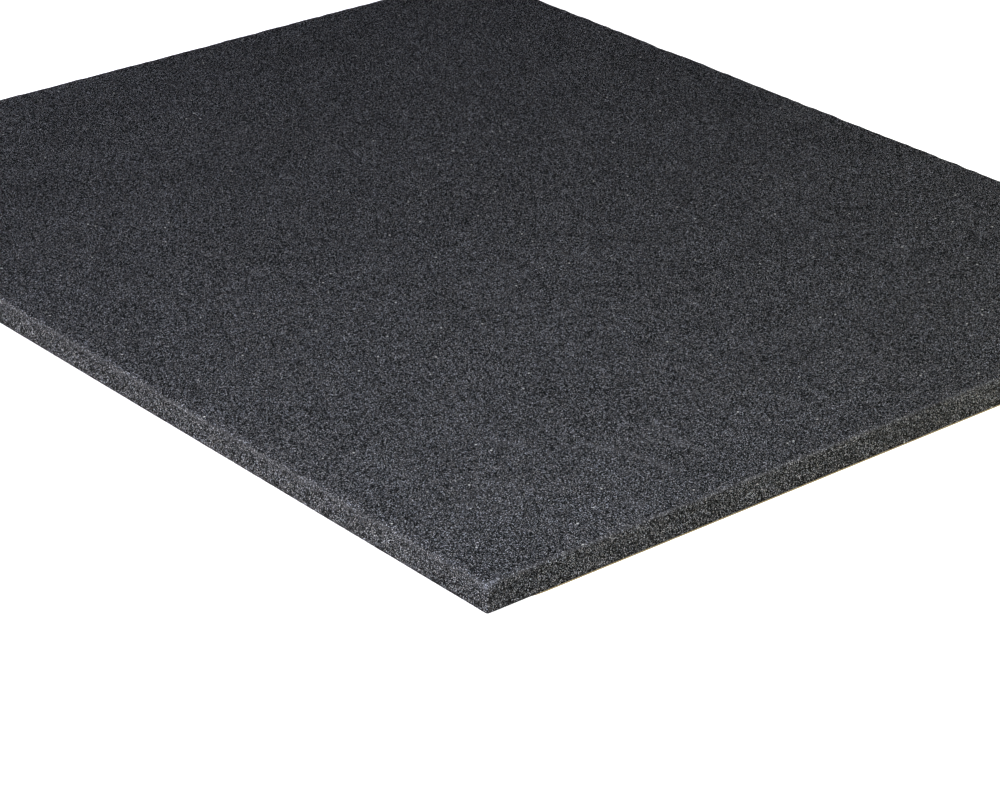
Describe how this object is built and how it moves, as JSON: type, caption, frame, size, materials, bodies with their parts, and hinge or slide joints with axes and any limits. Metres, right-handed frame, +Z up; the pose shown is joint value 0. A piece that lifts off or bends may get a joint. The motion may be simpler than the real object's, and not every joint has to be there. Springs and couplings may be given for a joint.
{
  "type": "balance pad",
  "caption": "Thin rectangular balance pad of charcoal fine-celled foam with square-cut sides and a soft top edge, bonded to a thin tan grip backing.",
  "frame": {"origin": "middle of the underside, on the floor", "axes": "+X along the pad's long side, +Y along its short side, +Z up out of the face that the user stands on"},
  "size_m": [0.5, 0.41, 0.012],
  "materials": {
    "charcoal_foam": "matte fine-celled soft foam, knife-cut sides with open cells",
    "tan_latex": "thin natural-latex film, dull tan, slightly tacky satin, finely textured underside"
  },
  "bodies": {
    "root": {"foam_slab": "charcoal_foam", "grip_backing": "tan_latex"}
  },
  "joints": []
}
